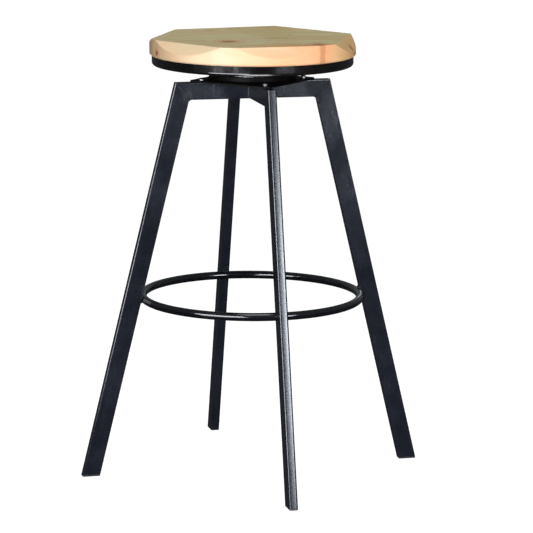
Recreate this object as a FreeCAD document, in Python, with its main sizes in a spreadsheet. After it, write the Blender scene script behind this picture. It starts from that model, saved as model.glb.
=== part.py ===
"""Swivelling bar stool with a foot ring.

Two bent frames of rectangular steel tube cross under a ball-bearing swivel.
The left-right frame has one full-length bar, and the front and rear frame is
two arms welded to the middle of that bar. A round foot ring is welded inside
the four legs. The swivel is two pressed plates with a ring of balls between
them, and it carries a pressed pan with a faceted pine board.

The origin is on the floor under the swivel axis, +Z is up, +X points along
the full-length bar and the front leg points to -Y. Sizes are in millimetres.
"""
import FreeCAD, Part
import math
import os
import Sketcher

Vector = FreeCAD.Vector
Rotation = FreeCAD.Rotation
Placement = FreeCAD.Placement
Z_AXIS = Vector(0, 0, 1)
CLOSE = 1e-6

DIMENSIONS = (
    # alias, value, what it is
    ("frame_height", 675, "floor to the top of the bar and arms"),
    ("bar_length", 270, "outer corner to outer corner of the top bar"),
    ("foot_span", 596, "outer edge to outer edge of opposite legs on the floor"),
    ("tube_depth", 30, "long side of the tube's section"),
    ("tube_width", 15, "short side of the tube's section"),
    ("tube_wall", 1.5, "tube wall"),
    ("tube_corner", 2, "outer corner radius of the tube"),
    ("ring_height", 303.5, "floor to the middle of the foot ring's rod"),
    ("ring_rod", 14, "diameter of the foot ring's rod"),
    ("plug_cap", 3, "thickness of a foot plug's cap"),
    ("plug_depth", 20, "how far a foot plug reaches up its leg"),
    ("plug_wall", 2, "wall of a foot plug's skirt"),
    ("plug_play", 0.1, "gap between a foot plug and the tube around it"),
    ("plug_edge", 0.8, "softened edge under a foot plug"),
    ("swivel_height", 27, "top of the arms to the underside of the pan"),
    ("ball_level", 15, "top of the arms to the centres of the balls"),
    ("ball_circle", 136, "diameter of the circle of ball centres"),
    ("ball_size", 5, "ball diameter"),
    ("ball_count", 68, "number of balls"),
    ("track_play", 0.15, "gap between a ball and its track"),
    ("lip_gap", 4, "gap between the lips of the two plates"),
    ("race_width", 148, "diameter of the wall around the ball track"),
    ("plate_side", 160, "side of a swivel plate"),
    ("plate_corner", 12, "corner radius of a swivel plate"),
    ("plate_sheet", 2.5, "sheet thickness of a swivel plate"),
    ("slope_run", 5, "width of the slope from a plate's flange up to its track wall"),
    ("slope_rise", 4, "height of that slope"),
    ("ridge_foot", 7.5, "ball circle in to the foot of the ridge inside the track"),
    ("hole_circle", 178, "diameter of the circle of a plate's corner holes"),
    ("cage_sheet", 1, "thickness of the ball cage"),
    ("cage_width", 6.4, "radial width of the ball cage"),
    ("cage_hole", 5.3, "diameter of a pocket in the ball cage"),
    ("pin_size", 12, "diameter of the kingpin"),
    ("pin_hole", 12.2, "diameter of the plates' centre holes"),
    ("pin_head", 22, "diameter of the kingpin's heads"),
    ("pin_head_depth", 3.5, "height of each kingpin head"),
    ("pin_play", 0.2, "end play of the upper plate on the kingpin"),
    ("washer_size", 26, "diameter of the spacer and the washer on the kingpin"),
    ("washer_sheet", 1.5, "thickness of the washer on the kingpin"),
    ("screw_size", 6, "shank of a plate screw"),
    ("screw_head", 10, "head diameter of a plate screw"),
    ("screw_head_depth", 4, "head height of a plate screw"),
    ("screw_head_side", 1.8, "upright side of a plate screw's head"),
    ("screw_shoulder", 8.5, "diameter of that head at its shoulder"),
    ("screw_shoulder_drop", 0.8, "crown of that head down to its shoulder"),
    ("screw_crown", 5, "diameter of the flat crown on that head"),
    ("recess_length", 5.4, "length across the cross recess of a plate screw"),
    ("recess_width", 1.2, "width of the slots in that recess"),
    ("recess_depth", 2, "depth of that recess"),
    ("screw_length", 16, "length of a plate screw under its head"),
    ("screw_hole", 6.4, "hole for a plate screw"),
    ("wood_screw_size", 5, "shank of a wood screw"),
    ("wood_screw_head", 9.5, "head diameter of a wood screw"),
    ("wood_screw_head_depth", 3, "head height of a wood screw"),
    ("wood_screw_crown", 5.7, "diameter of the flat crown on that head"),
    ("wood_screw_length", 28, "length of a wood screw under its head"),
    ("wood_screw_hole", 5.4, "hole for a wood screw in the pan"),
    ("pilot_play", 0.05, "gap between a wood screw and the board"),
    ("screw_count", 4, "screws in each plate, one in each corner"),
    ("pan_size", 342, "outer diameter of the seat pan"),
    ("pan_depth", 17, "height of the seat pan"),
    ("pan_sheet", 1.5, "sheet thickness of the seat pan"),
    ("pan_corner", 5, "outer radius between the pan's floor and its wall"),
    ("seat_size", 350, "diameter of the board"),
    ("board_thickness", 31, "board above the rim of the pan"),
    ("board_play", 0.5, "gap around the board's step inside the pan"),
    ("bevel_run", 3, "width of the bevel under the board"),
    ("bevel_rise", 2.5, "height of the bevel under the board"),
    ("top_edge", 1.5, "softened edge around the top face"),
    ("seat_turn", 6, "angle of the seat about the swivel axis at rest, degrees"),
    ("weld_size", 2.4, "radius of a weld bead"),
    ("mitre_weld_size", 1.6, "radius of the bead in the corner under a mitre"),
    ("weld_sink", 0.7, "middle of a bead in from the surfaces that it joins"),
    ("weld_spread", 4.6, "foot ring's contact line to the middle of a bead beside it"),
)

FACETS = (
    # The hand-cut facets around the board's upper edge, each with the direction that it
    # faces, its distance from the axis on the top face and how far it runs down the side
    (28.5, 151, 15),
    (91, 143, 19),
    (146, 155, 14),
    (207.5, 158.3, 17.5),
    (265.5, 159, 17.5),
    (328.5, 155, 22),
)

# Lengths worked out from the driving dimensions, for use in expressions
LEAN = "((Dims.foot_span - Dims.bar_length) / 2 / Dims.frame_height)"
STRETCH = f"sqrt(1 + {LEAN} ^ 2)"
LEG_CUT = f"(Dims.tube_depth * {STRETCH})"
WALL_CUT = f"(Dims.tube_wall * {STRETCH})"
HALF_BAR = "(Dims.bar_length / 2)"
BAR_UNDERSIDE = "(Dims.frame_height - Dims.tube_depth)"
INNER_CORNER = f"({HALF_BAR} + Dims.tube_depth * {LEAN} - {LEG_CUT})"
INNER_FACE_AT_RING = f"({HALF_BAR} + (Dims.frame_height - Dims.ring_height) * {LEAN} - {LEG_CUT})"
RING_RADIUS = f"({INNER_FACE_AT_RING} - Dims.ring_rod / 2 * {STRETCH})"
PAN_LEVEL = "(Dims.frame_height + Dims.swivel_height)"
SEAT_LEVEL = f"({PAN_LEVEL} + Dims.pan_depth)"

doc = FreeCAD.newDocument("bar_stool")
sheet = doc.addObject("Spreadsheet::Sheet", "Dims")
cells = list(DIMENSIONS)
for number, facet in enumerate(FACETS, 1):
    for word, value in zip(("turn", "reach", "drop"), facet):
        cells.append((f"facet{number}_{word}", value, f"{word} of facet {number}"))
for row, (alias, value, meaning) in enumerate(cells, 1):
    sheet.set(f"A{row}", meaning)
    sheet.set(f"B{row}", str(value))
    sheet.setAlias(f"B{row}", alias)
doc.recompute()

parts = {}


def size(alias):
    """Value of a driving dimension."""
    return float(sheet.get(alias))


def outer_edge(level):
    """Expression for a leg's outer edge, measured from the axis, at a level."""
    return f"({HALF_BAR} + (Dims.frame_height - ({level})) * {LEAN})"


def turned(angle):
    """Placement turned about the swivel axis."""
    return Placement(Vector(), Rotation(Z_AXIS, angle))


def new_body(label):
    """Empty body whose label becomes the name of its file."""
    body = doc.addObject("PartDesign::Body", label)
    body.Label = label
    parts[label] = body
    return body


def origin_feature(body, role):
    return next(item for item in body.Origin.OriginFeatures if item.Role == role)


def new_sketch(body, plane, level=None, across=None, turn=None):
    """Sketch on an origin plane, lifted, moved sideways or turned about the vertical where asked."""
    sketch = body.newObject("Sketcher::SketchObject", f"{body.Label}_sketch")
    sketch.AttachmentSupport = [(origin_feature(body, plane), "")]
    sketch.MapMode = "FlatFace"
    if level is not None:
        sketch.setExpression("AttachmentOffset.Base.z", level)
    if across is not None:
        sketch.setExpression("AttachmentOffset.Base.x", across)
    if turn is not None:
        sketch.AttachmentOffset = Placement(Vector(), Rotation(Vector(0, 1, 0), 1))
        sketch.setExpression("AttachmentOffset.Rotation.Angle", turn)
    return sketch


def place_point(sketch, geometry, end, point, name):
    """Tie one sketch point to a pair of expressions, measured from the origin."""
    for kind, axis, expression in zip(("DistanceX", "DistanceY"), "xy", point):
        index = sketch.addConstraint(Sketcher.Constraint(kind, -1, 1, geometry, end, 1.0))
        sketch.renameConstraint(index, f"{name}_{axis}")
        sketch.setExpression(f"Constraints.{name}_{axis}", expression)


def polygon(body, plane, points, **place):
    """Closed polygon whose corners are pairs of expressions."""
    sketch = new_sketch(body, plane, **place)
    count = len(points)
    seeds = []
    for step in range(count):
        angle = 2 * math.pi * step / count
        seeds.append(Vector(math.cos(angle), math.sin(angle), 0))
    sketch.addGeometry([Part.LineSegment(seeds[i], seeds[(i + 1) % count]) for i in range(count)])
    for i in range(count):
        sketch.addConstraint(Sketcher.Constraint("Coincident", i, 2, (i + 1) % count, 1))
    for i, point in enumerate(points):
        place_point(sketch, i, 1, point, f"corner{i}")
    return sketch


def circle(body, plane, centre, diameter, **place):
    """Circle whose centre and diameter are expressions."""
    sketch = new_sketch(body, plane, **place)
    sketch.addGeometry(Part.Circle(Vector(1, 1, 0), Z_AXIS, 1))
    place_point(sketch, 0, 3, centre, "centre")
    index = sketch.addConstraint(Sketcher.Constraint("Diameter", 0, 2.0))
    sketch.renameConstraint(index, "across")
    sketch.setExpression("Constraints.across", diameter)
    return sketch


def pad(body, sketch, length, midplane=True):
    feature = body.newObject("PartDesign::Pad", f"{body.Label}_pad")
    feature.Profile = sketch
    feature.Midplane = midplane
    feature.setExpression("Length", length)
    doc.recompute()
    return feature


def checked_cut(body, feature, before):
    """Recompute a cut and make sure that it took something away."""
    doc.recompute()
    if body.Shape.Volume > before - CLOSE:
        raise RuntimeError(f"{feature.Label} cuts nothing from {body.Label}")
    return feature


def pocket(body, sketch, length=None, midplane=True, upwards=False):
    """Cut a sketch through everything, or over a length centred on or starting at its plane."""
    before = body.Shape.Volume
    feature = body.newObject("PartDesign::Pocket", f"{body.Label}_pocket")
    feature.Profile = sketch
    feature.Midplane = midplane
    feature.Reversed = upwards
    if length is None:
        feature.Type = "ThroughAll"
    else:
        feature.setExpression("Length", length)
    return checked_cut(body, feature, before)


def revolve(body, sketch, cut=False):
    """Turn an upright sketch about its own vertical axis, adding or cutting."""
    before = body.Shape.Volume if cut else 0
    kind = "Groove" if cut else "Revolution"
    feature = body.newObject(f"PartDesign::{kind}", f"{body.Label}_{kind.lower()}")
    feature.Profile = sketch
    feature.ReferenceAxis = (sketch, ["V_Axis"])
    feature.Angle = 360
    if cut:
        return checked_cut(body, feature, before)
    doc.recompute()
    return feature


def repeat_round(body, features, count):
    """Repeat features evenly about the swivel axis."""
    pattern = body.newObject("PartDesign::PolarPattern", f"{body.Label}_pattern")
    pattern.Originals = features
    pattern.Axis = (origin_feature(body, "Z_Axis"), [""])
    pattern.Angle = 360
    pattern.setExpression("Occurrences", count)
    body.Tip = pattern
    doc.recompute()
    return pattern


def soften(body, wanted, radius, kind="Fillet"):
    """Round or chamfer the edges of a body's last feature that a test picks out."""
    base = body.Tip
    names = [f"Edge{i}" for i, edge in enumerate(base.Shape.Edges, 1) if wanted(edge)]
    feature = body.newObject(f"PartDesign::{kind}", f"{body.Label}_{kind.lower()}")
    feature.Base = (base, names)
    feature.setExpression("Radius" if kind == "Fillet" else "Size", radius)
    doc.recompute()
    return feature


def is_tube_corner(edge):
    """A straight edge along the outside of a tube, not on its cut ends."""
    ends = [vertex.Point for vertex in edge.Vertexes]
    if len(ends) < 2 or edge.Curve.TypeId != "Part::GeomLine":
        return False
    on_side = all(abs(abs(point.y) - size("tube_width") / 2) < CLOSE for point in ends)
    return on_side and (ends[1] - ends[0]).Length > 2 * size("tube_depth")


# ---------------------------------------------------------------- frame

def bar_tube(label, inner_end, turn):
    """Horizontal tube. It is mitred at +X, and either mitred or square at its other end."""
    body = new_body(label)
    top, under = "Dims.frame_height", BAR_UNDERSIDE
    if inner_end is None:
        near = [(f"-{INNER_CORNER}", under), (f"-{HALF_BAR}", top)]
    else:
        near = [(inner_end, under), (inner_end, top)]
    outline = near + [(HALF_BAR, top), (INNER_CORNER, under)]
    pad(body, polygon(body, "XZ_Plane", outline), "Dims.tube_width")
    soften(body, is_tube_corner, "Dims.tube_corner")
    low, high = f"{under} + Dims.tube_wall", f"{top} - Dims.tube_wall"
    bore = [(side + "Dims.bar_length", level)
            for side, level in (("-", low), ("", low), ("", high), ("-", high))]
    pocket(body, polygon(body, "XZ_Plane", bore), "Dims.tube_width - 2 * Dims.tube_wall")
    for side in ("", "-") if inner_end is None else ("",):
        centre = (f"{side}Dims.hole_circle / 2", "0")
        hole = circle(body, "XY_Plane", centre, "Dims.screw_hole", level="Dims.frame_height")
        pocket(body, hole, "Dims.tube_depth / 2", midplane=False)
    body.Placement = turned(turn)
    return body


def leg_tube(label, turn):
    """Leaning tube, mitred at the top and cut level just above the floor."""
    body = new_body(label)
    foot = "Dims.plug_cap"
    outline = [
        (HALF_BAR, "Dims.frame_height"),
        (INNER_CORNER, BAR_UNDERSIDE),
        (f"{outer_edge(foot)} - {LEG_CUT}", foot),
        (outer_edge(foot), foot),
    ]
    pad(body, polygon(body, "XZ_Plane", outline), "Dims.tube_width")
    soften(body, is_tube_corner, "Dims.tube_corner")
    low, high = "-Dims.tube_depth", "Dims.frame_height + Dims.tube_depth"
    bore = [
        (f"{outer_edge(low)} - {WALL_CUT}", low),
        (f"{outer_edge(high)} - {WALL_CUT}", high),
        (f"{outer_edge(high)} - {LEG_CUT} + {WALL_CUT}", high),
        (f"{outer_edge(low)} - {LEG_CUT} + {WALL_CUT}", low),
    ]
    pocket(body, polygon(body, "XZ_Plane", bore), "Dims.tube_width - 2 * Dims.tube_wall")
    body.Placement = turned(turn)
    return body


def leaning_block(low, high, inset):
    """Corners of a block that follows a leg between two levels, inside its outline by an inset."""
    return [
        (f"{outer_edge(low)} - {inset}", low),
        (f"{outer_edge(high)} - {inset}", high),
        (f"{outer_edge(high)} - {LEG_CUT} + {inset}", high),
        (f"{outer_edge(low)} - {LEG_CUT} + {inset}", low),
    ]


def foot_plug(label, turn):
    """Plastic plug: a cap under the leg's end and a hollow skirt inside the tube."""
    body = new_body(label)
    cap = "Dims.plug_cap"
    pad(body, polygon(body, "XZ_Plane", leaning_block("0", cap, "0")), "Dims.tube_width")
    soften(body, lambda edge: edge.BoundBox.ZLength > size("plug_cap") / 2, "Dims.tube_corner")
    soften(body, lambda edge: edge.BoundBox.ZMax < CLOSE, "Dims.plug_edge", "Chamfer")
    skirt_inset = f"(Dims.tube_wall + Dims.plug_play) * {STRETCH}"
    skirt_width = "Dims.tube_width - 2 * (Dims.tube_wall + Dims.plug_play)"
    pad(body, polygon(body, "XZ_Plane", leaning_block(cap, "Dims.plug_depth", skirt_inset)), skirt_width)
    hollow_inset = f"(Dims.tube_wall + Dims.plug_play + Dims.plug_wall) * {STRETCH}"
    hollow = polygon(body, "XZ_Plane", leaning_block(cap, "2 * Dims.plug_depth", hollow_inset))
    pocket(body, hollow, f"{skirt_width} - 2 * Dims.plug_wall")
    body.Placement = turned(turn)
    return body


LEG_TURNS = {"right": 0, "rear": 90, "left": 180, "front": 270}

bar_tube("top_bar", None, 0)
bar_tube("arm_front", "Dims.tube_width / 2", LEG_TURNS["front"])
bar_tube("arm_rear", "Dims.tube_width / 2", LEG_TURNS["rear"])
for side, angle in LEG_TURNS.items():
    leg_tube(f"leg_{side}", angle)
    foot_plug(f"foot_plug_{side}", angle)

ring = doc.addObject("Part::Torus", "foot_ring")
ring.Label = "foot_ring"
ring.setExpression("Radius1", RING_RADIUS)
ring.setExpression("Radius2", "Dims.ring_rod / 2")
ring.setExpression("Placement.Base.z", "Dims.ring_height")
parts["foot_ring"] = ring
doc.recompute()


# ---------------------------------------------------------------- swivel

HOLE_SHIFT = "Dims.hole_circle / 2 * sqrt(0.5)"
BALL_LEVEL = "(Dims.frame_height + Dims.ball_level)"
TRACK_DEPTH = "(Dims.ball_size / 2 + Dims.track_play)"
LOWER_SHEET_TOP = f"({BALL_LEVEL} - {TRACK_DEPTH})"
LOWER_SHEET_UNDER = f"({LOWER_SHEET_TOP} - Dims.plate_sheet)"
UPPER_SHEET_UNDER = f"({BALL_LEVEL} + {TRACK_DEPTH})"
UPPER_SHEET_TOP = f"({UPPER_SHEET_UNDER} + Dims.plate_sheet)"
WASHER_UNDER = f"({UPPER_SHEET_TOP} + Dims.pin_play)"
WASHER_TOP = f"({WASHER_UNDER} + Dims.washer_sheet)"
SEAT_TURN = size("seat_turn")
CORNERS_ON_ARMS = 45


def rectangle(inner, outer, low, high):
    """Corners of a ring's section between two radii and two levels."""
    return [(inner, low), (outer, low), (outer, high), (inner, high)]


def is_upright(edge):
    ends = [vertex.Point for vertex in edge.Vertexes]
    return len(ends) == 2 and (ends[1] - ends[0]).cross(Z_AXIS).Length < CLOSE


def swivel_plate(label, ball_level):
    """Pressed plate: a square flange at level 0 and a raised ball track in its middle."""
    body = new_body(label)
    half = "Dims.plate_side / 2"
    square = [(f"-{half}", f"-{half}"), (half, f"-{half}"), (half, half), (f"-{half}", half)]
    pad(body, polygon(body, "XY_Plane", square), "Dims.plate_sheet", midplane=False)
    soften(body, is_upright, "Dims.plate_corner")

    wall = "(Dims.race_width / 2)"
    slope_foot = f"({wall} + Dims.slope_run)"
    inner_foot = f"({slope_foot} - Dims.plate_sheet / 2)"
    pocket(body, circle(body, "XY_Plane", ("0", "0"), f"2 * {inner_foot}"))

    sheet_top = f"({ball_level} - {TRACK_DEPTH})"
    sheet_under = f"({sheet_top} - Dims.plate_sheet)"
    lip = f"({ball_level} - Dims.lip_gap / 2)"
    track = "(Dims.ball_circle / 2)"
    section = [
        ("Dims.pin_hole / 2", sheet_under),
        ("Dims.pin_hole / 2", sheet_top),
        (f"{track} - Dims.ridge_foot", sheet_top),
        (f"{track} - Dims.ball_size", lip),
        (wall, lip),
        (wall, "Dims.plate_sheet + Dims.slope_rise"),
        (slope_foot, "Dims.plate_sheet"),
        (slope_foot, "0"),
        (inner_foot, "0"),
        (f"{wall} - Dims.plate_sheet", "Dims.slope_rise + Dims.plate_sheet / 2"),
        (f"{wall} - Dims.plate_sheet", sheet_under),
    ]
    revolve(body, polygon(body, "XZ_Plane", section))
    revolve(body, circle(body, "XZ_Plane", (track, ball_level), f"2 * {TRACK_DEPTH}"), cut=True)
    hole = pocket(body, circle(body, "XY_Plane", (HOLE_SHIFT, HOLE_SHIFT), "Dims.screw_hole"))
    repeat_round(body, [hole], "Dims.screw_count")
    return body


def ring_section(label, corners):
    """Body turned from a section beside the swivel axis."""
    body = new_body(label)
    revolve(body, polygon(body, "XZ_Plane", corners))
    return body


lower_plate = swivel_plate("swivel_lower_plate", "Dims.ball_level")
lower_plate.Placement = turned(CORNERS_ON_ARMS)
lower_plate.setExpression("Placement.Base.z", "Dims.frame_height")

upper_plate = swivel_plate("swivel_upper_plate", "(Dims.swivel_height - Dims.ball_level)")
upper_plate.Placement = Placement(Vector(), Rotation(Z_AXIS, SEAT_TURN) * Rotation(Vector(1, 0, 0), 180))
upper_plate.setExpression("Placement.Base.z", PAN_LEVEL)


def kingpin():
    """Centre pin with a formed head at each end."""
    head, shank, edge = "Dims.pin_head / 2", "Dims.pin_size / 2", "Dims.pin_head_depth / 2"
    low_end = f"({LOWER_SHEET_UNDER} - Dims.pin_head_depth)"
    high_end = f"({WASHER_TOP} + Dims.pin_head_depth)"
    ring_section("kingpin", [
        ("0", low_end),
        (f"{head} - {edge}", low_end),
        (head, f"{low_end} + {edge}"),
        (head, LOWER_SHEET_UNDER),
        (shank, LOWER_SHEET_UNDER),
        (shank, WASHER_TOP),
        (head, WASHER_TOP),
        (head, f"{high_end} - {edge}"),
        (f"{head} - {edge}", high_end),
        ("0", high_end),
    ])


def ball_race():
    """Ring of balls and the cage that keeps them apart."""
    balls = new_body("bearing_balls")
    ball = balls.newObject("PartDesign::AdditiveSphere", "ball")
    ball.setExpression("Radius", "Dims.ball_size / 2")
    ball.setExpression("Placement.Base.x", "Dims.ball_circle / 2")
    ball.setExpression("Placement.Base.z", BALL_LEVEL)
    doc.recompute()
    repeat_round(balls, [ball], "Dims.ball_count")

    inner = "(Dims.ball_circle - Dims.cage_width) / 2"
    outer = "(Dims.ball_circle + Dims.cage_width) / 2"
    low, high = f"{BALL_LEVEL} - Dims.cage_sheet / 2", f"{BALL_LEVEL} + Dims.cage_sheet / 2"
    cage = ring_section("ball_cage", rectangle(inner, outer, low, high))
    hole = pocket(cage, circle(cage, "XY_Plane", ("Dims.ball_circle / 2", "0"), "Dims.cage_hole"),
                  f"{BALL_LEVEL} + Dims.cage_sheet", midplane=False, upwards=True)
    repeat_round(cage, [hole], "Dims.ball_count")


def plate_screws():
    """Pan-head screws with a cross recess, one through each corner of the lower plate."""
    body = new_body("plate_screws")
    shank, head = "Dims.screw_size / 2", "Dims.screw_head / 2"
    seat = "(Dims.frame_height + Dims.plate_sheet)"
    tip = f"({seat} - Dims.screw_length)"
    crown = f"({seat} + Dims.screw_head_depth)"
    section = [
        ("0", tip),
        (shank, f"{tip} + {shank}"),
        (shank, seat),
        (head, seat),
        (head, f"{seat} + Dims.screw_head_side"),
        ("Dims.screw_shoulder / 2", f"{crown} - Dims.screw_shoulder_drop"),
        ("Dims.screw_crown / 2", crown),
        ("0", crown),
    ]
    screw = revolve(body, polygon(body, "XZ_Plane", section, across="Dims.hole_circle / 2"))
    arm, slot = "Dims.recess_length / 2", "Dims.recess_width / 2"
    cross = []
    for turn in range(4):
        for x, y in ((slot, arm), (slot, slot), (arm, slot)):
            for _ in range(turn):
                x, y = y, f"-({x})"
            cross.append((f"Dims.hole_circle / 2 + ({x})", y))
    recess = pocket(body, polygon(body, "XY_Plane", cross, level=crown),
                    "Dims.recess_depth", midplane=False)
    repeat_round(body, [screw, recess], "Dims.screw_count")


ring_section("pin_spacer", rectangle("Dims.pin_hole / 2", "Dims.washer_size / 2",
                                     LOWER_SHEET_TOP, f"{UPPER_SHEET_UNDER} - Dims.pin_play"))
ring_section("pin_washer", rectangle("Dims.pin_hole / 2", "Dims.washer_size / 2",
                                     WASHER_UNDER, WASHER_TOP))
kingpin()
ball_race()
plate_screws()


# ---------------------------------------------------------------- seat

def seat_pan():
    """Pressed pan: a floor, a rounded corner and an upright wall."""
    outer, inner = "Dims.pan_size / 2", "(Dims.pan_size / 2 - Dims.pan_sheet)"
    floor = f"({PAN_LEVEL} + Dims.pan_sheet)"
    body = ring_section("seat_pan", [
        ("0", PAN_LEVEL), (outer, PAN_LEVEL), (outer, SEAT_LEVEL),
        (inner, SEAT_LEVEL), (inner, floor), ("0", floor),
    ])
    under, above = body.Shape.BoundBox.ZMin, body.Shape.BoundBox.ZMin + size("pan_sheet")
    soften(body, lambda edge: is_level_circle(edge, under), "Dims.pan_corner")
    soften(body, lambda edge: is_level_circle(edge, above), "Dims.pan_corner - Dims.pan_sheet")
    hole = pocket(body, circle(body, "XY_Plane", (HOLE_SHIFT, HOLE_SHIFT), "Dims.wood_screw_hole"))
    repeat_round(body, [hole], "Dims.screw_count")
    body.Placement = turned(SEAT_TURN)


def is_level_circle(edge, level):
    box = edge.BoundBox
    return abs(box.ZMin - level) < CLOSE and abs(box.ZMax - level) < CLOSE


def seat_board():
    """Round board with a step that drops into the pan and flat facets around its upper edge."""
    rim = "(Dims.seat_size / 2)"
    step = "(Dims.pan_size / 2 - Dims.pan_sheet - Dims.board_play)"
    floor = f"({PAN_LEVEL} + Dims.pan_sheet)"
    top = f"({SEAT_LEVEL} + Dims.board_thickness)"
    body = ring_section("seat_board", [
        ("0", floor),
        (f"{step} - Dims.pan_corner", floor),
        (step, f"{floor} + Dims.pan_corner"),
        (step, SEAT_LEVEL),
        (f"{rim} - Dims.bevel_run", SEAT_LEVEL),
        (rim, f"{SEAT_LEVEL} + Dims.bevel_rise"),
        (rim, top),
        ("0", top),
    ])
    for number in range(1, len(FACETS) + 1):
        reach, drop = f"Dims.facet{number}_reach", f"Dims.facet{number}_drop"
        run = f"({rim} - {reach})"
        wedge = [
            (f"{reach} - {run}", f"{top} + {drop}"),
            (f"{rim} + {run}", f"{top} + {drop}"),
            (f"{rim} + {run}", f"{top} - 2 * {drop}"),
        ]
        cut = polygon(body, "XZ_Plane", wedge, turn=f"Dims.facet{number}_turn")
        pocket(body, cut, "Dims.seat_size")
    face_level = body.Shape.BoundBox.ZMax
    soften(body, lambda edge: edge.BoundBox.ZMin > face_level - CLOSE, "Dims.top_edge")
    pilot = circle(body, "XY_Plane", (HOLE_SHIFT, HOLE_SHIFT), "Dims.wood_screw_size + 2 * Dims.pilot_play")
    hole = pocket(body, pilot, f"{wood_screw_tip()} + Dims.pilot_play", midplane=False, upwards=True)
    repeat_round(body, [hole], "Dims.screw_count")
    body.Placement = turned(SEAT_TURN)


def wood_screw_tip():
    """Expression for the level that the tips of the wood screws reach."""
    return f"({PAN_LEVEL} - Dims.plate_sheet + Dims.wood_screw_length)"


def seat_screws():
    """Wood screws driven up through the upper plate and the pan into the board."""
    body = new_body("seat_screws")
    shank, head = "Dims.wood_screw_size / 2", "Dims.wood_screw_head / 2"
    seat = f"({PAN_LEVEL} - Dims.plate_sheet)"
    crown = f"({seat} - Dims.wood_screw_head_depth)"
    section = [
        ("0", crown),
        ("Dims.wood_screw_crown / 2", crown),
        (head, f"{crown} + Dims.wood_screw_head_depth / 2"),
        (head, seat),
        (shank, seat),
        (shank, f"{wood_screw_tip()} - Dims.wood_screw_size"),
        ("0", wood_screw_tip()),
    ]
    screw = revolve(body, polygon(body, "XZ_Plane", section, across="Dims.hole_circle / 2"))
    repeat_round(body, [screw], "Dims.screw_count")
    body.Placement = turned(SEAT_TURN + CORNERS_ON_ARMS)


seat_pan()
seat_board()
seat_screws()


# ---------------------------------------------------------------- welds

def bead(start, end, radius, neighbours):
    """Round-ended run of weld metal between two points, cut back to the surfaces it joins."""
    run = end - start
    blank = Part.makeCylinder(radius, run.Length, start, run)
    for point in (start, end):
        blank = blank.fuse(Part.makeSphere(radius, point))
    left = blank.removeSplitter().cut([parts[label].Shape for label in neighbours])
    return max(left.Solids, key=lambda solid: solid.Volume)


def weld_group(label, beads):
    """The same beads at each of the four legs or corners."""
    feature = doc.addObject("Part::Feature", label)
    feature.Label = label
    copies = []
    for turn in LEG_TURNS.values():
        copies += [one.rotated(Vector(), Z_AXIS, turn) for one in beads]
    feature.Shape = Part.makeCompound(copies)
    feature.Placement = Placement()
    parts[label] = feature


def frame_welds():
    """Beads beside the foot ring, under the mitres and in the corners between the bar and the arms."""
    depth, half_width = size("tube_depth"), size("tube_width") / 2
    lean = (size("foot_span") - size("bar_length")) / 2 / size("frame_height")
    radius, sink = size("weld_size"), size("weld_sink")
    across = Vector(0, half_width - size("tube_corner") - radius / 2, 0)

    up_leg = Vector(-lean, 0, 1).normalize()
    outwards = up_leg.cross(Vector(0, -1, 0))
    contact = Vector(ring.Radius1.Value, 0, size("ring_height")) + outwards * (size("ring_rod") / 2)
    ring_beads = []
    for step in (-1, 1):
        middle = contact + up_leg * (step * size("weld_spread")) - outwards * sink
        ring_beads.append(bead(middle - across, middle + across, radius, ["leg_right", "foot_ring"]))
    weld_group("ring_welds", ring_beads)

    under = size("frame_height") - depth
    inner_corner = size("bar_length") / 2 + depth * lean - depth * math.hypot(1, lean)
    corner = Vector(inner_corner - sink, 0, under - sink)
    weld_group("mitre_welds", [bead(corner - across, corner + across, size("mitre_weld_size"),
                                    ["leg_right", "top_bar"])])

    low = Vector(half_width + sink, half_width + sink, under + 2 * radius)
    high = Vector(low.x, low.y, size("frame_height") - 2 * radius)
    weld_group("arm_welds", [bead(low, high, radius, ["top_bar", "arm_rear"])])


frame_welds()


# ---------------------------------------------------------------- checks and files

def check_document():
    doc.recompute()
    for item in doc.Objects:
        if "Invalid" in item.State or "Error" in item.State:
            raise RuntimeError(f"{item.Label} did not compute: {item.State}")
    for label, part in parts.items():
        if part.Shape.isNull() or not part.Shape.isValid() or not part.Shape.Solids:
            raise RuntimeError(f"{label} has no sound shape")


check_document()
os.makedirs("parts", exist_ok=True)
for label, part in parts.items():
    part.Shape.exportStep(f"parts/{label}.step")
    print(f"{label}: {len(part.Shape.Solids)} solids, {part.Shape.Volume / 1000:.2f} cm3")
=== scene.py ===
"""Looks for the swivelling bar stool: materials, board, mitre seams, studio and camera.

Everything is in metres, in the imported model's own frame: the origin is on the
floor under the swivel axis and the front leg points to -Y.
"""
import math

import bmesh
import bpy
from mathutils import Matrix, Vector


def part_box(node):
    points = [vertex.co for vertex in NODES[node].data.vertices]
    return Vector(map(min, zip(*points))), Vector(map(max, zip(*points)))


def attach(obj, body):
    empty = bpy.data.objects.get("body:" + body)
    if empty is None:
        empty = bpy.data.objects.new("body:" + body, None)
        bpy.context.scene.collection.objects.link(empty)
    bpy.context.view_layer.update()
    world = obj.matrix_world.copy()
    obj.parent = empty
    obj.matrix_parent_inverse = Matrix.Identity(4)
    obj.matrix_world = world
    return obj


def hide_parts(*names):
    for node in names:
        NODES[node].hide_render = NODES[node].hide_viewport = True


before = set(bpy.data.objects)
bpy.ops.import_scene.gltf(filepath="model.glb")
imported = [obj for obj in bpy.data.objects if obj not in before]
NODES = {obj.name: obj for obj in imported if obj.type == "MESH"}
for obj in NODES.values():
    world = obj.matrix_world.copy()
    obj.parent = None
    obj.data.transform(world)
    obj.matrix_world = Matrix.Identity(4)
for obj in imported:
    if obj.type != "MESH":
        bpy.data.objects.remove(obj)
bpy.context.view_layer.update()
MM = 0.001


# ---------------------------------------------------------------- node helpers

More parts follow.
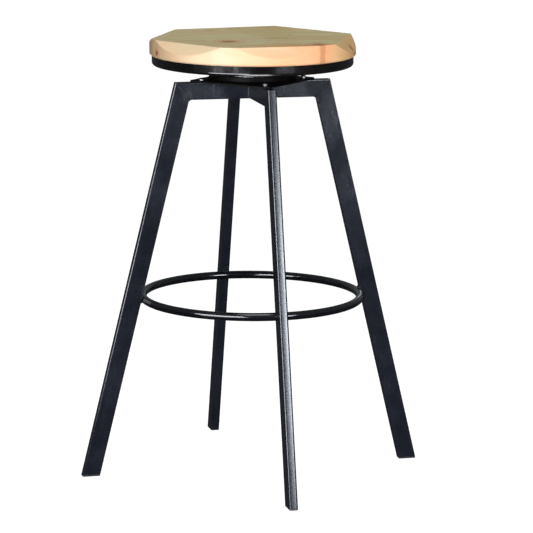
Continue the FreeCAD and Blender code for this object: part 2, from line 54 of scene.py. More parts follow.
class Shader:
    """Small helper that adds and links the nodes of one material."""

    def __init__(self, name):
        self.material = bpy.data.materials.new(name)
        self.material.use_nodes = True
        self.tree = self.material.node_tree
        self.surface = self.tree.nodes["Principled BSDF"]
        self.place = self.node("ShaderNodeTexCoord").outputs["Object"]

    def node(self, kind, **settings):
        made = self.tree.nodes.new(kind)
        for key, value in settings.items():
            setattr(made, key, value)
        return made

    def link(self, source, target):
        """Connect an output, or store a plain value, in an input."""
        if isinstance(source, bpy.types.NodeSocket):
            self.tree.links.new(source, target)
        else:
            target.default_value = source

    def math(self, operation, *values, clamp=False):
        made = self.node("ShaderNodeMath", operation=operation, use_clamp=clamp)
        for value, socket in zip(values, made.inputs):
            self.link(value, socket)
        return made.outputs[0]

    def vector(self, operation, *values):
        made = self.node("ShaderNodeVectorMath", operation=operation)
        for value, socket in zip(values, made.inputs):
            self.link(value, socket)
        return made.outputs["Value" if operation in ("LENGTH", "DOT_PRODUCT") else "Vector"]

    def scaled(self, source, scale):
        """Coordinates times a vector: large numbers along an axis make the pattern finer there."""
        return self.vector("MULTIPLY", source, scale)

    def noise(self, source, scale, detail=2.0, roughness=0.5, distortion=0.0):
        made = self.node("ShaderNodeTexNoise")
        self.link(source, made.inputs["Vector"])
        made.inputs["Scale"].default_value = scale
        made.inputs["Detail"].default_value = detail
        made.inputs["Roughness"].default_value = roughness
        made.inputs["Distortion"].default_value = distortion
        return made.outputs["Fac"]

    def between(self, source, low, high, start=0.0, end=1.0, smooth=True):
        """Value carried from the range low-high to start-end."""
        made = self.node("ShaderNodeMapRange")
        made.interpolation_type = "SMOOTHSTEP" if smooth else "LINEAR"
        self.link(source, made.inputs["Value"])
        for value, name in zip((low, high, start, end), ("From Min", "From Max", "To Min", "To Max")):
            self.link(value, made.inputs[name])
        return made.outputs["Result"]

    def mix(self, share, first, second):
        """Blend of two colours."""
        made = self.node("ShaderNodeMix", data_type="RGBA", blend_type="MIX")
        sockets = [s for s in made.inputs if s.type == "RGBA"]
        self.link(share, made.inputs[0])
        for value, socket in zip((first, second), sockets):
            self.link(value if isinstance(value, bpy.types.NodeSocket) else (*value, 1), socket)
        return [s for s in made.outputs if s.type == "RGBA"][0]

    def bump(self, height, distance, strength=1.0, under=None):
        made = self.node("ShaderNodeBump")
        made.inputs["Strength"].default_value = strength
        made.inputs["Distance"].default_value = distance
        self.link(height, made.inputs["Height"])
        if under is not None:
            self.link(under, made.inputs["Normal"])
        return made.outputs["Normal"]

    def set(self, **values):
        """Fill the shader's inputs. The words are the inputs' names with _ for a space."""
        for word, value in values.items():
            self.link(value, self.surface.inputs[word.replace("_", " ")])
        return self.material


# ---------------------------------------------------------------- materials

def along_z(s):
    """Coordinates that stay the same along a leaning leg: across its narrow face, across its wide face, up."""
    split = s.node("ShaderNodeSeparateXYZ")
    s.link(s.place, split.inputs[0])
    x, y, z = split.outputs
    wide, deep = s.math("ABSOLUTE", x), s.math("ABSOLUTE", y)
    on_y = s.math("LESS_THAN", wide, deep)
    narrow = s.math("ADD", s.math("MULTIPLY", x, on_y), s.math("MULTIPLY", y, s.math("SUBTRACT", 1, on_y)))
    outer = s.math("ADD", s.math("MAXIMUM", wide, deep), s.math("MULTIPLY", z, LEAN))
    joined = s.node("ShaderNodeCombineXYZ")
    for source, socket in zip((narrow, outer, z), joined.inputs):
        s.link(source, socket)
    return joined.outputs[0]


MOTTLE = 0.3  # how much the paint's tone wanders either way
DUST_COLOUR = (0.35, 0.36, 0.38)
DRAWN_DEPTH = 0.0000015  # metres, height of the lines left by drawing the tube
EDGE_START, EDGE_CURVE = 3.8 * MM, 50  # a leg's face turns down past this distance from its middle line
ROLL_CURVE = 100  # how fast the pan's lower corner turns under
COAT_ROUGHNESS = 0.08


def paint(name, colour, shine, roughness, grain, lines=None, crown=0.0, roll=None, dust=0.5, coat=0.0,
          relief=0.008):
    """Paint on steel: patchy tone, orange peel, pale dust, and the drawn lines of the tube under it.

    lines is the direction of the drawn lines: "leg", "x" or "y". crown rounds a leg's narrow face and
    roll is the height below which the surface turns under. Both act on the shading only.
    """
    s = Shader(name)
    patches = s.noise(s.place, 14, detail=5, roughness=0.6)
    tone = s.between(patches, 0.3, 0.7, 1 - MOTTLE, 1 + MOTTLE)
    base = s.vector("SCALE", colour)
    s.link(tone, base.node.inputs["Scale"])
    peel = s.noise(s.place, 1 / grain, detail=2, roughness=0.5)
    specks = s.between(s.noise(s.place, 420, detail=1), 0.7, 0.8)
    smears = s.between(s.noise(s.scaled(s.place, (1, 1, 0.25)), 60, detail=6, roughness=0.7), 0.45, 0.8)
    dusty = s.math("MULTIPLY", s.math("ADD", s.math("MULTIPLY", specks, 0.6), s.math("MULTIPLY", smears, 0.35)), dust)
    shown = s.mix(s.math("MULTIPLY", dusty, 0.06), base, DUST_COLOUR)
    rough = s.math("ADD", s.between(smears, 0, 1, roughness, roughness + 0.1),
                   s.between(patches, 0.3, 0.7, -0.03, 0.03))
    normal = None
    if lines is not None:
        flow = along_z(s) if lines == "leg" else s.place
        scale = {"leg": (1, 1, 0.012), "x": (0.012, 1, 1), "y": (1, 0.012, 1)}[lines]
        drawn = s.noise(s.scaled(flow, scale), 420, detail=3, roughness=0.6)
        height = s.math("MULTIPLY", drawn, DRAWN_DEPTH)
        if crown:
            split = s.node("ShaderNodeSeparateXYZ")
            s.link(flow, split.inputs[0])
            narrow = split.outputs[0]
            height = s.math("SUBTRACT", height,
                            s.math("MULTIPLY", s.math("MULTIPLY", narrow, narrow), crown))
            edge = s.math("MAXIMUM", s.math("SUBTRACT", s.math("ABSOLUTE", narrow), EDGE_START), 0)
            height = s.math("SUBTRACT", height, s.math("MULTIPLY", s.math("MULTIPLY", edge, edge), EDGE_CURVE))
        normal = s.bump(height, 1.0)
        rough = s.math("ADD", rough, s.between(drawn, 0.3, 0.7, -0.012, 0.012))
    if roll is not None:
        level = s.node("ShaderNodeSeparateXYZ")
        s.link(s.place, level.inputs[0])
        under = s.math("MAXIMUM", s.math("SUBTRACT", roll, level.outputs["Z"]), 0)
        normal = s.bump(s.math("MULTIPLY", s.math("MULTIPLY", under, under), ROLL_CURVE), 1.0)
    return s.set(Base_Color=shown, Roughness=rough, Specular_IOR_Level=shine, Coat_Weight=coat,
                 Coat_Roughness=COAT_ROUGHNESS, Normal=s.bump(peel, grain * relief, under=normal))


def metal(name, colour, roughness, brush=(1, 1, 30)):
    """Bare metal with fine brushing, faint stains and uneven polish."""
    s = Shader(name)
    strokes = s.noise(s.scaled(s.place, brush), 160, detail=4, roughness=0.65)
    stains = s.noise(s.place, 90, detail=5, roughness=0.6)
    tone = s.vector("SCALE", colour)
    s.link(s.between(stains, 0.25, 0.75, 0.7, 1.1), tone.node.inputs["Scale"])
    rough = s.math("ADD", s.between(strokes, 0.3, 0.7, roughness * 0.7, roughness * 1.3),
                   s.between(stains, 0.4, 0.8, 0, 0.1))
    return s.set(Base_Color=tone, Metallic=1.0, Roughness=rough, Normal=s.bump(strokes, 0.00002, 0.4))


def plastic(name, colour, roughness):
    """Moulded plastic with a spark-eroded grain and floor dust near the ground."""
    s = Shader(name)
    grain = s.noise(s.place, 1800, detail=2)
    level = s.node("ShaderNodeSeparateXYZ")
    s.link(s.place, level.inputs[0])
    scuffs = s.between(s.noise(s.place, 300, detail=5, roughness=0.7), 0.5, 0.75)
    near_floor = s.between(level.outputs["Z"], 0, 0.004, 1, 0)
    shown = s.mix(s.math("MULTIPLY", scuffs, s.math("MULTIPLY", near_floor, 0.25)), colour, (0.3, 0.29, 0.27))
    return s.set(Base_Color=shown, Roughness=s.between(scuffs, 0, 1, roughness, roughness + 0.2),
                 Normal=s.bump(grain, 0.00004, 0.6))


def paint_nodes(material, *names):
    """Give CAD nodes a finished material in place of the plain imported one."""
    for name in names:
        NODES[name].data.materials.clear()
        NODES[name].data.materials.append(material)


BAR_LOW, BAR_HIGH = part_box("top_bar")
FOOT_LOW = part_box("leg_left")[0]
PAN_LOW, PAN_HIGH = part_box("seat_pan")
LEAN = (BAR_LOW.x - FOOT_LOW.x) / (BAR_HIGH.z - FOOT_LOW.z)

FRAME = {"colour": (0.0085, 0.0105, 0.0165), "shine": 0.5, "roughness": 0.2, "grain": 0.0012,
         "dust": 0.08, "relief": 0.004}
DULL_FRAME = {**FRAME, "shine": 0.25, "roughness": 0.4}
LEG_PAINT = paint("leg_satin_paint", lines="leg", crown=4.5, **FRAME)
BAR_PAINT = paint("bar_satin_paint", lines="x", **FRAME)
ARM_PAINT = paint("arm_satin_paint", lines="y", **FRAME)
WELD_PAINT = paint("weld_satin_paint", **{**DULL_FRAME, "grain": 0.003, "relief": 0.15})
SEAM_PAINT = paint("seam_satin_paint", **DULL_FRAME)
RING_PAINT = paint("ring_gloss_paint", (0.0035, 0.004, 0.006), shine=0.5, roughness=0.12, grain=0.002)
PAN_PAINT = paint("pan_gloss_paint", (0.0035, 0.0026, 0.0022), shine=0.5, roughness=0.16, grain=0.002, coat=0.6,
                  roll=PAN_LOW.z + 3.5 * MM)
SWIVEL_PAINT = paint("swivel_black", (0.002, 0.0018, 0.0018), shine=0.06, roughness=0.48, grain=0.001)
ZINC = metal("bright_zinc", (0.46, 0.47, 0.49), 0.3)
CAGE_STEEL = metal("pressed_steel", (0.42, 0.42, 0.43), 0.35, brush=(1, 1, 6))
BALL_STEEL = metal("bearing_steel", (0.75, 0.75, 0.77), 0.12, brush=(1, 1, 1))
PLUG_PLASTIC = plastic("plug_moulding", (0.012, 0.012, 0.013), 0.5)

LEGS = ("right", "rear", "left", "front")
paint_nodes(LEG_PAINT, *[f"leg_{side}" for side in LEGS])
paint_nodes(BAR_PAINT, "top_bar")
paint_nodes(ARM_PAINT, "arm_front", "arm_rear")
paint_nodes(WELD_PAINT, "arm_welds", "mitre_welds", "ring_welds")
paint_nodes(RING_PAINT, "foot_ring")
paint_nodes(PAN_PAINT, "seat_pan")
paint_nodes(SWIVEL_PAINT, "swivel_lower_plate", "swivel_upper_plate")
paint_nodes(ZINC, "plate_screws", "seat_screws", "kingpin", "pin_spacer", "pin_washer")
paint_nodes(CAGE_STEEL, "ball_cage")
paint_nodes(BALL_STEEL, "bearing_balls")
paint_nodes(PLUG_PLASTIC, *[f"foot_plug_{side}" for side in LEGS])


# ---------------------------------------------------------------- board

BOARD_LOW, BOARD_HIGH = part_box("seat_board")
SEAT_RADIUS = BOARD_HIGH.x
SEAT_TOP = BOARD_HIGH.z
BEVEL_RUN, BEVEL_RISE = 3 * MM, 2.5 * MM


def facet_planes():
    """Each flat facet of the CAD board: its direction, its distance from the axis at the top, and its slope."""
    planes = []
    for face in NODES["seat_board"].data.polygons:
        if not 0.3 < face.normal.z < 0.9:
            continue
        known = next((p for p in planes if p[0].dot(face.normal) > 0.9999), None)
        if known is None:
            planes.append([face.normal.copy(), face.center.copy(), face.area])
        else:
            known[2] += face.area
    found = []
    for normal, point, area in planes:
        if area > 1e-4:
            flat = math.hypot(normal.x, normal.y)
            slope = normal.z / flat
            reach = (point.x * normal.x + point.y * normal.y) / flat - (SEAT_TOP - point.z) * slope
            found.append((math.atan2(normal.y, normal.x), reach, slope))
    return sorted(found)


FACETS = facet_planes()


def rounded(before, corner, after, soft, steps=4):
    """Points of a small curve that replaces a corner of an outline."""
    first = corner + (before - corner).normalized() * min(soft, (before - corner).length / 2)
    last = corner + (after - corner).normalized() * min(soft, (after - corner).length / 2)
    points = []
    for step in range(steps + 1):
        t = step / steps
        points.append(first * (1 - t) ** 2 + corner * (2 * t * (1 - t)) + last * t ** 2)
    return points


def board_outline(angle):
    """Half section of the board at an angle, from the top face's edge to the underside's."""
    rim, top, seat = SEAT_RADIUS, SEAT_TOP, PAN_HIGH.z
    cuts = [(math.cos(angle - turn), reach, slope) for turn, reach, slope in FACETS
            if math.cos(angle - turn) * rim > reach]
    at_top, depth = rim, 0
    for facing, reach, slope in cuts:
        at_top = min(at_top, reach / facing)
        depth = max(depth, (rim * facing - reach) / slope)
    depth = max(depth, 3 * MM)
    middle = min([rim] + [(reach + depth / 2 * slope) / facing for facing, reach, slope in cuts])
    step = PAN_HIGH.x - 2 * MM
    corners = (
        (Vector((0, top)), 0),
        (Vector((at_top, top)), 1.8 * MM),
        (Vector((middle, top - depth / 2)), 1 * MM),
        (Vector((rim, top - depth)), 1.2 * MM),
        (Vector((rim, seat + BEVEL_RISE)), 1.2 * MM),
        (Vector((rim - BEVEL_RUN, seat)), 0.8 * MM),
        (Vector((step, seat)), 0.4 * MM),
        (Vector((step, BOARD_LOW.z)), 2 * MM),
        (Vector((0, BOARD_LOW.z)), 0),
    )
    outline = []
    for before, here, after in zip(corners, corners[1:], corners[2:]):
        outline += rounded(before[0], here[0], after[0], here[1])
    return outline


def board_angles(spread=1.0, tight=0.25):
    """Angles of the board's columns in degrees, closer together where facets meet the rim or each other."""
    edges = []
    for turn, reach, slope in FACETS:
        half = math.acos(reach / SEAT_RADIUS)
        edges += [turn - half, turn + half]
    angles, at = [], 0.0
    while at < 360 - tight / 2:
        angles.append(at)
        near = min(abs((at - math.degrees(edge) + 180) % 360 - 180) for edge in edges)
        at += tight if near < 2 * spread else spread
    return [math.radians(angle) for angle in angles]


def board_mesh():
    """Board swept round its axis."""
    bm = bmesh.new()
    columns = []
    for angle in board_angles():
        outline = board_outline(angle)
        inner = [Vector((outline[0].x * share, outline[0].y)) for share in (0.02, 0.35, 0.7, 0.93)]
        under = [Vector((outline[-1].x * share, outline[-1].y)) for share in (0.7, 0.02)]
        columns.append([bm.verts.new((p.x * math.cos(angle), p.x * math.sin(angle), p.y))
                        for p in inner + outline + under])
    for column, after in zip(columns, columns[1:] + columns[:1]):
        for a, b, c, d in zip(column, column[1:], after[1:], after):
            bm.faces.new((a, b, c, d))
    bm.faces.new([column[0] for column in columns])
    bm.faces.new([column[-1] for column in reversed(columns)])
    bmesh.ops.remove_doubles(bm, verts=bm.verts, dist=1e-6)
    bmesh.ops.recalc_face_normals(bm, faces=bm.faces)
    return bm


def mesh_piece(name, bm, material, body, slot_name, *replaced):
    """Finish a bmesh as a smooth piece that rides on a body."""
    mesh = bpy.data.meshes.new(name)
    bm.to_mesh(mesh)
    bm.free()
    mesh.polygons.foreach_set("use_smooth", [True] * len(mesh.polygons))
    mesh.materials.append(material)
    piece = bpy.data.objects.new(name, mesh)
    bpy.context.scene.collection.objects.link(piece)
    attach(piece, body)
    if replaced:
        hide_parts(*replaced)
    return piece


GRAIN_TURN = math.radians(-10)
STAVE = 68 * MM
YEAR = 4.2 * MM
KNOTS = (
    # angle from +X in degrees and distance from the axis in mm, height and radius in mm, direction, how dark
    (-62.6, 176, 731, 7.0, (0, 0, 1), 0.45),
    (-60.5, 158, 749, 11.0, (0.1, -0.2, 1), 0.85),
    (189.7, 173, 728.8, 5.0, (1, 0.17, 0), 1.0),
    (-131, 91, 745, 14.5, (0.1, 0, 1), 0.8),
    (-46, 47, 745, 13.0, (-0.2, 0.1, 1), 0.12),
    (-81, 68, 745, 7.0, (0.1, 0.1, 1), 0.2),
    (117, 112, 745, 10.0, (0, 0.1, 1), 0.35),
    (-25, 171, 742, 6.0, (0.3, 0, 1), 0.9),
)


def knot_fields(s):
    """How far each point is inside a knot, in the bent grain around it, and in its warm stain, over all knots."""
    core, halo, tint = 0.0, 0.0, 0.0
    for angle, away, height, radius, direction, dark in KNOTS:
        turn = math.radians(angle)
        centre = Vector((away * math.cos(turn), away * math.sin(turn), height)) * MM
        axis = Vector(direction).normalized()
        offset = s.vector("SUBTRACT", s.place, centre)
        along = s.vector("SCALE", axis)
        s.link(s.vector("DOT_PRODUCT", offset, axis), along.node.inputs["Scale"])
        apart = s.vector("LENGTH", s.vector("SUBTRACT", offset, along))
        waves = s.math("SUBTRACT", s.noise(s.place, 260), 0.5)
        ragged = s.math("ADD", apart, s.math("MULTIPLY", waves, radius * MM))
        inside = s.between(ragged, radius * 0.55 * MM, radius * 1.15 * MM, dark, 0)
        around = s.between(apart, 0, radius * 3.2 * MM, 1, 0)
        core = s.math("MAXIMUM", core, inside)
        halo = s.math("ADD", halo, s.math("MULTIPLY", around, radius * MM))
        tint = s.math("MAXIMUM", tint, s.math("MULTIPLY", around, dark))
    return core, halo, tint


def flame(s):
    """Darker heartwood that shows as a pointed patch with a firm outline, widening towards the back."""
    split = s.node("ShaderNodeSeparateXYZ")
    s.link(s.place, split.inputs[0])
    x, y, _ = split.outputs
    opened = s.between(y, -0.085, 0.1, smooth=False)
    waves = s.noise(s.scaled(s.place, (10, 25, 25)), 1.0, detail=3)
    ragged = s.math("MULTIPLY", s.math("SUBTRACT", waves, 0.5), 0.05)
    middle = s.math("ADD", s.math("MULTIPLY", opened, 0.014), 0.03)
    half = s.math("ADD", s.math("MULTIPLY", opened, 0.05), 0.002)
    past = s.math("ADD", s.math("SUBTRACT", s.math("ABSOLUTE", s.math("SUBTRACT", x, middle)), half), ragged)
    inside = s.between(past, -0.02, 0.004, 0.3, 0)
    outline = s.between(s.math("ABSOLUTE", past), 0, 0.004, 0.45, 0)
    return s.math("MULTIPLY", s.math("ADD", inside, outline), s.between(y, -0.09, -0.07))


SAPWOOD, WARM_SAPWOOD, STRAW = (0.86, 0.68, 0.46), (0.88, 0.62, 0.40), (0.84, 0.67, 0.42)
FRONT_BLUSH, RIGHT_SIDE_SHADE = (0.88, 0.46, 0.25), (0.9, 0.58, 0.30)
LATE_WOOD, STREAK, BAND, FIBRE = (0.62, 0.32, 0.12), (0.72, 0.42, 0.18), (0.66, 0.44, 0.16), (0.55, 0.30, 0.12)
HEARTWOOD, END_GRAIN = (0.60, 0.41, 0.14), (0.50, 0.28, 0.11)
KNOT_STAIN, KNOT_LIGHT, KNOT_DARK = (0.80, 0.36, 0.17), (0.52, 0.19, 0.075), (0.34, 0.12, 0.045)
KNOT_HEART = (0.10, 0.04, 0.02)
BOARD_DEPTH = 31 * MM
HEART_NEAR, HEART_SPREAD = 12 * MM, 70 * MM  # how far a stave's heart lies below the board


def pine():
    """Knotty pine: staves of curved year rings, fine fibres, warm streaks and knots, all cut from one solid pattern,
    with painted shade on the top face and on the right-hand sides.
    """
    s = Shader("knotty_pine")
    turned = s.node("ShaderNodeVectorRotate", rotation_type="Z_AXIS")
    s.link(s.place, turned.inputs["Vector"])
    turned.inputs["Angle"].default_value = -GRAIN_TURN
    grain = turned.outputs["Vector"]
    core, halo, tint = knot_fields(s)

    split = s.node("ShaderNodeSeparateXYZ")
    s.link(grain, split.inputs[0])
    along, across, up = split.outputs
    place_in_row = s.math("DIVIDE", s.math("ADD", across, 10 * STAVE + 0.3 * STAVE), STAVE)
    stave = s.math("FLOOR", place_in_row)
    chance = s.node("ShaderNodeTexWhiteNoise", noise_dimensions="1D")
    s.link(stave, chance.inputs["W"])
    lot = s.node("ShaderNodeSeparateColor")
    s.link(chance.outputs["Color"], lot.inputs[0])
    first, second, third = lot.outputs

    wander = s.noise(s.vector("ADD", s.scaled(grain, (2.2, 6, 6)), chance.outputs["Color"]), 1.0, detail=2)
    heart_side = s.math("MULTIPLY", s.math("SUBTRACT", first, 0.5), 0.9 * STAVE)
    heart_depth = s.math("ADD", s.math("MULTIPLY", second, HEART_SPREAD), HEART_NEAR)
    sideways = s.math("SUBTRACT", s.math("MULTIPLY", s.math("SUBTRACT", s.math("FRACT", place_in_row), 0.5), STAVE),
                      heart_side)
    depth = s.math("ADD", s.math("SUBTRACT", up, SEAT_TOP - BOARD_DEPTH), heart_depth)
    square = s.math("ADD", s.math("MULTIPLY", sideways, sideways), s.math("MULTIPLY", depth, depth))
    from_heart = s.math("ADD", s.math("SQRT", square), s.math("MULTIPLY", s.math("SUBTRACT", wander, 0.5), 0.05))
    bent = s.math("ADD", from_heart, s.math("MULTIPLY", halo, 0.9))
    years = s.math("ADD", s.math("DIVIDE", bent, YEAR),
                   s.math("MULTIPLY", s.noise(s.scaled(grain, (6, 60, 60)), 1.0, detail=3), 0.5))
    late = s.between(s.math("FRACT", years), 0.35, 0.97)
    late = s.math("MULTIPLY", late, s.between(s.math("FRACT", years), 0.97, 1.0, 1, 0))

    fibres = s.noise(s.scaled(grain, (9, 1100, 1100)), 1.0, detail=3, roughness=0.7)
    streaks = s.noise(s.scaled(grain, (3, 55, 55)), 1.0, detail=4, roughness=0.6)
    warmth = s.noise(s.vector("ADD", s.scaled(grain, (5, 14, 20)), chance.outputs["Color"]), 1.0, detail=2)

    normal = s.node("ShaderNodeTexCoord").outputs["Normal"]
    level = s.node("ShaderNodeSeparateXYZ")
    s.link(normal, level.inputs[0])
    on_top = s.between(level.outputs["Z"], 0.8, 0.98)
    pale = s.mix(s.between(warmth, 0.38, 0.62), SAPWOOD, WARM_SAPWOOD)
    pale = s.mix(s.math("MULTIPLY", third, 0.35), pale, STRAW)
    front = s.between(across, -0.13, -0.10, 1, 0)
    heart = s.between(s.math("ADD", along, s.math("MULTIPLY", warmth, 0.2)), -0.02, 0.2)
    # painted shade: the right-hand end's sides, but not its top, take a darker, more orange tone
    right = s.math("MULTIPLY", s.between(along, 0.09, 0.15), s.math("SUBTRACT", 1, on_top))
    pale = s.mix(s.math("MULTIPLY", front, heart), pale, FRONT_BLUSH)
    pale = s.mix(right, pale, RIGHT_SIDE_SHADE)
    amber = s.mix(0.5, pale, LATE_WOOD)
    # the year rings show far stronger on the top face than on the sides: partly real grain, partly painted shade that
    # darkens the top
    wood = s.mix(s.math("MULTIPLY", late, s.between(on_top, 0, 1, 0.12, 0.8)), pale, amber)
    wood = s.mix(s.between(streaks, 0.5, 0.8, 0, 0.35), wood, STREAK)
    bands = s.noise(s.scaled(grain, (3.5, 16, 16)), 1.0, detail=3, roughness=0.6, distortion=0.6)
    wood = s.mix(s.math("MULTIPLY", s.between(bands, 0.48, 0.66, 0, 0.55), on_top), wood, BAND)
    wood = s.mix(s.between(fibres, 0.3, 0.75, 0, 0.16), wood, FIBRE)
    wood = s.mix(s.between(tint, 0, 1, 0, 0.9), wood, KNOT_STAIN)
    wood = s.mix(s.math("MULTIPLY", flame(s), on_top), wood, HEARTWOOD)
    knot_rings = s.noise(s.place, 900, detail=2)
    knot_tone = s.mix(knot_rings, KNOT_LIGHT, KNOT_DARK)
    knot_tone = s.mix(s.between(core, 0.85, 1), knot_tone, KNOT_HEART)
    wood = s.mix(core, wood, knot_tone)

    facing = s.math("ABSOLUTE", s.vector("DOT_PRODUCT", normal, (math.cos(GRAIN_TURN), math.sin(GRAIN_TURN), 0)))
    end_grain = s.between(facing, 0.55, 0.98)
    wood = s.mix(s.math("MULTIPLY", end_grain, 0.35), wood, END_GRAIN)

    height = s.math("ADD", s.math("MULTIPLY", late, 0.5), s.math("MULTIPLY", fibres, 0.5))
    rough = s.math("ADD", s.between(fibres, 0.3, 0.7, 0.48, 0.6), s.math("MULTIPLY", core, -0.1))
    return s.set(Base_Color=wood, Roughness=rough, Specular_IOR_Level=0.3,
                 Normal=s.bump(height, 0.00006, 0.6))


board = mesh_piece("board", board_mesh(), pine(), "seat", "pine", "seat_board")
weighted = board.modifiers.new("crisp", "WEIGHTED_NORMAL")
weighted.keep_sharp = True


# ---------------------------------------------------------------- mitre seams

SEAM_HALF_WIDTH, SEAM_RISE, SEAM_TAPER = 1.4 * MM, 0.6 * MM, 2 * MM


def seam_mesh(steps=24, sides=12):
    """Ground weld along each mitre, on both wide faces: closed ridges, half sunk in the tube's wall."""
    bm = bmesh.new()
    half_turn = (math.pi / 2 - math.atan(LEAN)) / 2
    along = Vector((-math.sin(half_turn), 0, -math.cos(half_turn)))
    across = Vector((math.cos(half_turn), 0, -math.sin(half_turn)))
    length = (BAR_HIGH.z - BAR_LOW.z) / math.cos(half_turn)
    first, last = SEAM_HALF_WIDTH, length - SEAM_HALF_WIDTH
    for quarter in range(4):
        turn = Matrix.Rotation(quarter * math.pi / 2, 3, "Z")
        for side in (-1, 1):
            corner = Vector((BAR_HIGH.x, side * BAR_HIGH.y, BAR_HIGH.z))
            rings = []
            for step in range(steps + 1):
                at = first + (last - first) * step / steps
                near_end = min(at - first, last - at)
                swell = 0.15 + 0.85 * min(1, near_end / SEAM_TAPER)
                ring = []
                for index in range(sides):
                    angle = 2 * math.pi * index / sides
                    place = (corner + along * at + across * (SEAM_HALF_WIDTH * swell * math.cos(angle))
                             + Vector((0, SEAM_RISE * swell * math.sin(angle), 0)))
                    ring.append(bm.verts.new(turn @ place))
                rings.append(ring)
            for ring, after in zip(rings, rings[1:]):
                for index in range(sides):
                    then = (index + 1) % sides
                    bm.faces.new((ring[index], ring[then], after[then], after[index]))
            bm.faces.new(rings[0])
            bm.faces.new(list(reversed(rings[-1])))
    bmesh.ops.recalc_face_normals(bm, faces=bm.faces)
    return bm


mesh_piece("mitre_seams", seam_mesh(), SEAM_PAINT, "base", "frame_paint")


# ---------------------------------------------------------------- studio and camera

def area_light(name, place, target, width, height, radiance, colour=(1, 1, 1), on_gloss=True, on_matte=True):
    """Soft rectangular light that points at a target. Its brightness is the same at any size."""
    data = bpy.data.lights.new(name, "AREA")
    data.shape = "RECTANGLE"
    data.size, data.size_y = width, height
    data.energy = radiance * math.pi * width * height
    data.color = colour
    lamp = bpy.data.objects.new(name, data)
    lamp.location = place
    lamp.rotation_euler = (Vector(target) - Vector(place)).to_track_quat("-Z", "Y").to_euler()
    lamp.visible_camera = False
    lamp.visible_glossy = on_gloss
    lamp.visible_diffuse = on_matte
    bpy.context.scene.collection.objects.link(lamp)


def world_room():
    """White behind the object for the camera; for light, a soft cool ceiling over a dark lower half."""
    world = bpy.data.worlds.new("room")
    world.use_nodes = True
    tree = world.node_tree
    seen, room = tree.nodes["Background"], tree.nodes.new("ShaderNodeBackground")
    seen.inputs["Color"].default_value = (1, 1, 1, 1)
    direction, split = tree.nodes.new("ShaderNodeTexCoord"), tree.nodes.new("ShaderNodeSeparateXYZ")
    tree.links.new(direction.outputs["Generated"], split.inputs[0])
    sky = tree.nodes.new("ShaderNodeValToRGB")
    lifted = tree.nodes.new("ShaderNodeMapRange")
    lifted.inputs["From Min"].default_value = -1
    tree.links.new(split.outputs["Z"], lifted.inputs["Value"])
    tree.links.new(lifted.outputs["Result"], sky.inputs["Fac"])
    stops = sky.color_ramp.elements
    for height, colour in ((0.5, (0.045, 0.048, 0.058)), (0.54, (0.17, 0.19, 0.19))):
        stops.new(height).color = (*colour, 1)
    stops[0].color = (0.04, 0.038, 0.036, 1)
    stops[len(stops) - 1].color = (0.19, 0.215, 0.225, 1)
    tree.links.new(sky.outputs["Color"], room.inputs["Color"])
    mixed, path = tree.nodes.new("ShaderNodeMixShader"), tree.nodes.new("ShaderNodeLightPath")
    tree.links.new(path.outputs["Is Camera Ray"], mixed.inputs["Fac"])
    tree.links.new(room.outputs[0], mixed.inputs[1])
    tree.links.new(seen.outputs[0], mixed.inputs[2])
    tree.links.new(mixed.outputs[0], tree.nodes["World Output"].inputs["Surface"])
    bpy.context.scene.world = world


FLOOR_GLOW = 0.95  # the floor glows for the camera only, so the glow lights nothing


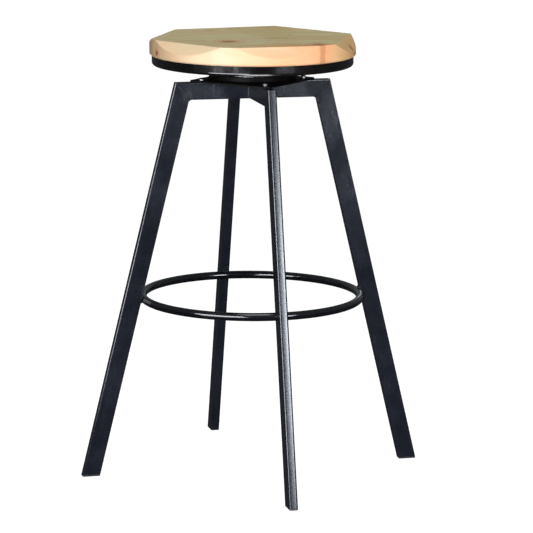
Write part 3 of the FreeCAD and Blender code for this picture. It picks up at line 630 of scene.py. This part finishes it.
def studio():
    """Pale floor, soft boxes and a dim room around them.

    Some boxes light matte surfaces only and some show only in reflections, so each can be set alone.
    """
    bm = bmesh.new()
    bmesh.ops.create_grid(bm, x_segments=8, y_segments=8, size=30)
    mesh = bpy.data.meshes.new("floor")
    bm.to_mesh(mesh)
    bm.free()
    floor = bpy.data.objects.new("floor", mesh)
    bpy.context.scene.collection.objects.link(floor)
    s = Shader("pale_floor")
    strength = s.math("MULTIPLY", s.node("ShaderNodeLightPath").outputs["Is Camera Ray"], FLOOR_GLOW)
    mesh.materials.append(s.set(Base_Color=(0.35, 0.35, 0.35, 1), Roughness=0.9, Specular_IOR_Level=0.1,
                                Emission_Color=(1, 1, 1, 1), Emission_Strength=strength))
    floor.visible_glossy = False
    world_room()
    area_light("key", (-0.95, -3.2, 0.85), (0, 0, 0.72), 1.3, 1.1, 29, (1, 0.96, 0.98), on_gloss=False)
    area_light("top", (0.1, 0.6, 2.4), (0, 0, 0.7), 1.0, 1.0, 3.5, (0.8, 1, 0.72), on_gloss=False)
    area_light("ceiling", (0.1, -0.9, 2.7), (0, 0, 0.4), 1.3, 1.0, 7, (0.9, 0.95, 1), on_matte=False)
    area_light("window_left", (-2.1, -2.0, 1.14), (0, -0.2, 0.35), 2.6, 0.72, 22, (0.92, 0.96, 1), on_matte=False)
    area_light("window_low", (-0.85, -1.05, 0.3), (0, -0.28, 0.27), 1.1, 0.26, 15, (0.92, 0.94, 1), on_matte=False)
    area_light("window_right", (1.18, -2.9, 1.04), (0, 0, 0.35), 0.74, 0.8, 30, (0.86, 0.92, 1), on_matte=False)
    for row, y in enumerate((-1.05, -0.8)):
        area_light(f"floor_slat_{row}", (-0.15, y, 0.09), (-0.15, y - 0.5, 0.956), 0.5, 0.28, 30, on_matte=False)
    area_light("fill_right", (2.4, -1.9, 0.9), (0, 0, 0.7), 1.0, 1.0, 5, (1, 0.86, 0.66), on_gloss=False)


SENSOR_WIDTH, FOCAL_LENGTH = 36, 203.8  # mm


def camera():
    """Long lens a little to the left of the front leg, looking slightly down."""
    azimuth, distance, height = math.radians(-14.0), 5.088, 1.321
    heading = azimuth + math.radians(-0.29)
    pitch, roll = math.radians(-10.765), math.radians(0.37)
    ahead = Vector((-math.sin(heading) * math.cos(pitch), math.cos(heading) * math.cos(pitch), math.sin(pitch)))
    level = Vector((math.cos(heading), math.sin(heading), 0))
    up = level.cross(ahead)
    right = level * math.cos(roll) + up * math.sin(roll)
    up = right.cross(ahead)
    data = bpy.data.cameras.new("camera")
    data.sensor_width = SENSOR_WIDTH
    data.lens = FOCAL_LENGTH
    data.clip_start, data.clip_end = 0.1, 200
    made = bpy.data.objects.new("camera", data)
    place = Matrix.Translation((math.sin(azimuth) * distance, -math.cos(azimuth) * distance, height))
    made.matrix_world = place @ Matrix((right, up, -ahead)).transposed().to_4x4()
    bpy.context.scene.collection.objects.link(made)
    bpy.context.scene.camera = made


studio()
camera()
bpy.context.scene.view_settings.view_transform = "Standard"
